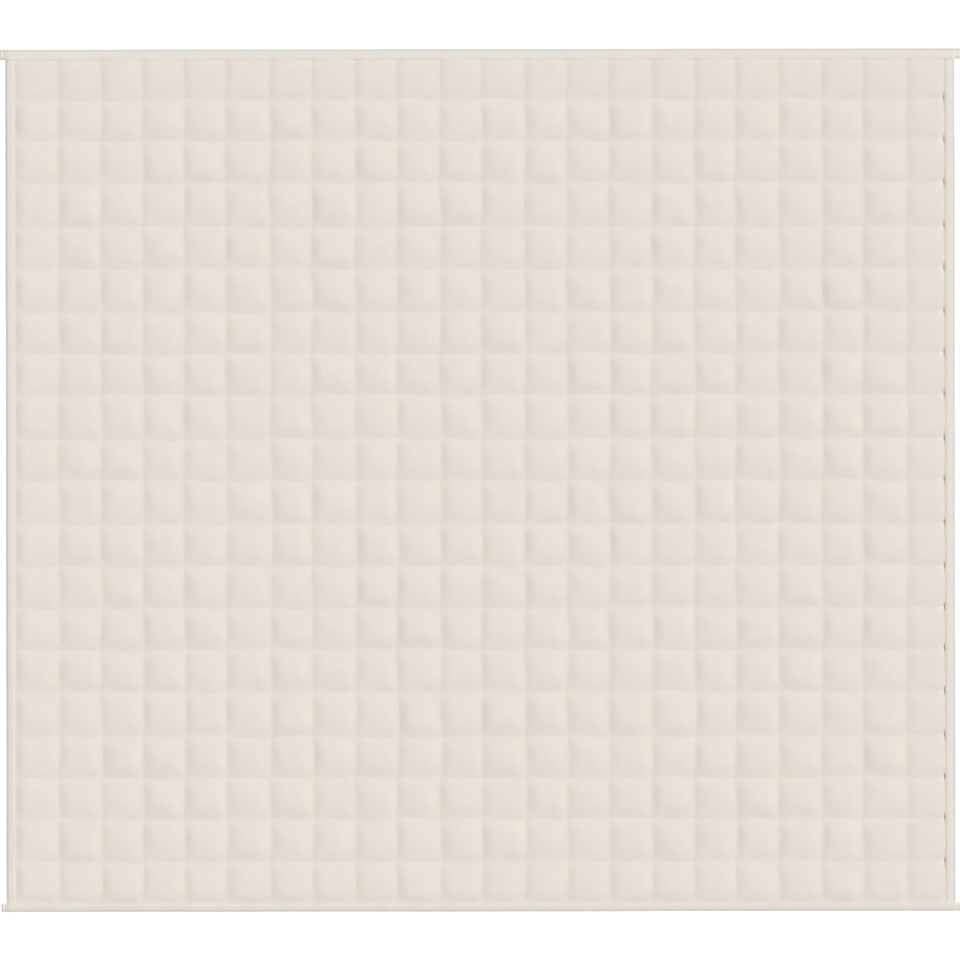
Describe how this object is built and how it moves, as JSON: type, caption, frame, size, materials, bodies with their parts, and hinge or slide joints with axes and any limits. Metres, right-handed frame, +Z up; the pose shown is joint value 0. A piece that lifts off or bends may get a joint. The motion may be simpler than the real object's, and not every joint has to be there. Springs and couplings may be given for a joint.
{
  "type": "weighted blanket",
  "caption": "Flat weighted blanket, quilted into small square filled pockets, with a folded tape bound over each edge and short tape ends past the corners.",
  "frame": {"origin": "on the surface that the blanket lies on, under the middle of its outline", "axes": "+X along the head and foot edges, to the right as seen from above with the head at the top; +Y from foot to head; +Z up, out of the upper face"},
  "size_m": [2.226, 2, 0.0121],
  "materials": {
    "quilt_cloth": "plain light cream cotton, matt",
    "binding_tape": "light cream cotton tape, matt"
  },
  "bodies": {
    "root": {"quilted_panel": "quilt_cloth", "binding_head": "binding_tape", "binding_foot": "binding_tape", "binding_left": "binding_tape", "binding_right": "binding_tape"}
  },
  "joints": []
}
